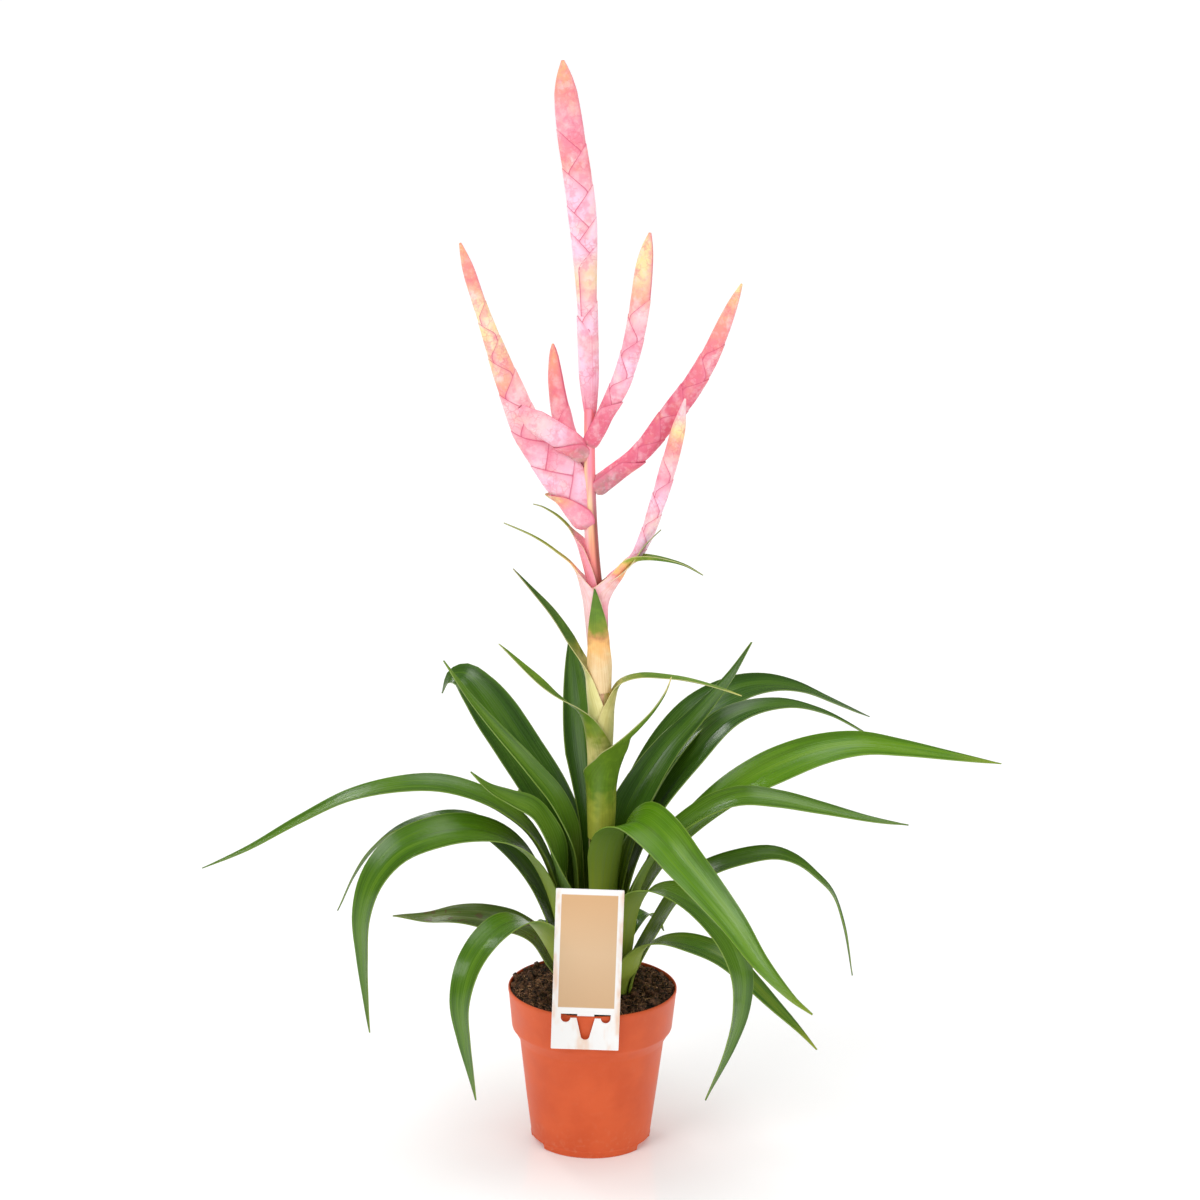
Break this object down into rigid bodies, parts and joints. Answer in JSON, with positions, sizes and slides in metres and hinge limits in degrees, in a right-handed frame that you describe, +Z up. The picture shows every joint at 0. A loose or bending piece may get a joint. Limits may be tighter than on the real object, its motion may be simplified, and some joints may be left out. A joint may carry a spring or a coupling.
{
  "type": "potted bromeliad in flower",
  "caption": "Bromeliad with arching strap leaves and a tall stem of flat pink flower spikes, in a round plastic nursery pot with a blank plant card hung on its rim.",
  "frame": {"origin": "centre of the pot's flat underside, on the surface that the pot stands on", "axes": "+Z is up, along the pot's axis; -Y faces the viewer, where the card hangs; +X is the viewer's right"},
  "size_m": [0.5668, 0.3736, 0.776],
  "materials": {
    "pot_plastic": "satin",
    "peat": "matte",
    "card": "satin",
    "leaf": "satin",
    "stem": "satin",
    "bract": "satin",
    "spike": "satin"
  },
  "bodies": {
    "root": {"pot": "pot_plastic", "soil": "peat", "card": "card", "flower_stem": "stem", "leaf_back_erect": "leaf", "leaf_left_slender": "leaf", "leaf_right_erect": "leaf", "leaf_front_large": "leaf", "leaf_left_short": "leaf", "leaf_left_hooked": "leaf", "leaf_right_rear": "leaf", "leaf_right_arched": "leaf", "leaf_back_left": "leaf", "leaf_right_low_arch": "leaf", "leaf_left_long": "leaf", "leaf_right_long": "leaf", "leaf_left_drooping": "leaf", "leaf_right_hooked": "leaf", "leaf_left_rear": "leaf", "leaf_front_right": "leaf", "leaf_front_left": "leaf", "leaf_left_spotted": "leaf", "leaf_right_low": "leaf", "leaf_back_long": "leaf", "leaf_back_drooping": "leaf", "leaf_back_short_left": "leaf", "leaf_back_short_right": "leaf", "leaf_back_low": "leaf", "bract_low_left": "bract", "bract_low_right": "bract", "bract_thin_back": "bract", "bract_right_long": "bract", "bract_left_dark": "bract", "bract_front_erect": "bract", "bract_pink_left": "bract", "bract_pink_right": "bract", "bract_thin_left": "bract", "spike_top": "spike", "spike_right_upper": "spike", "spike_back": "spike", "spike_left_upper": "spike", "spike_left_lower": "spike", "spike_right_lower": "spike", "spike_right_thin": "spike"}
  },
  "joints": []
}
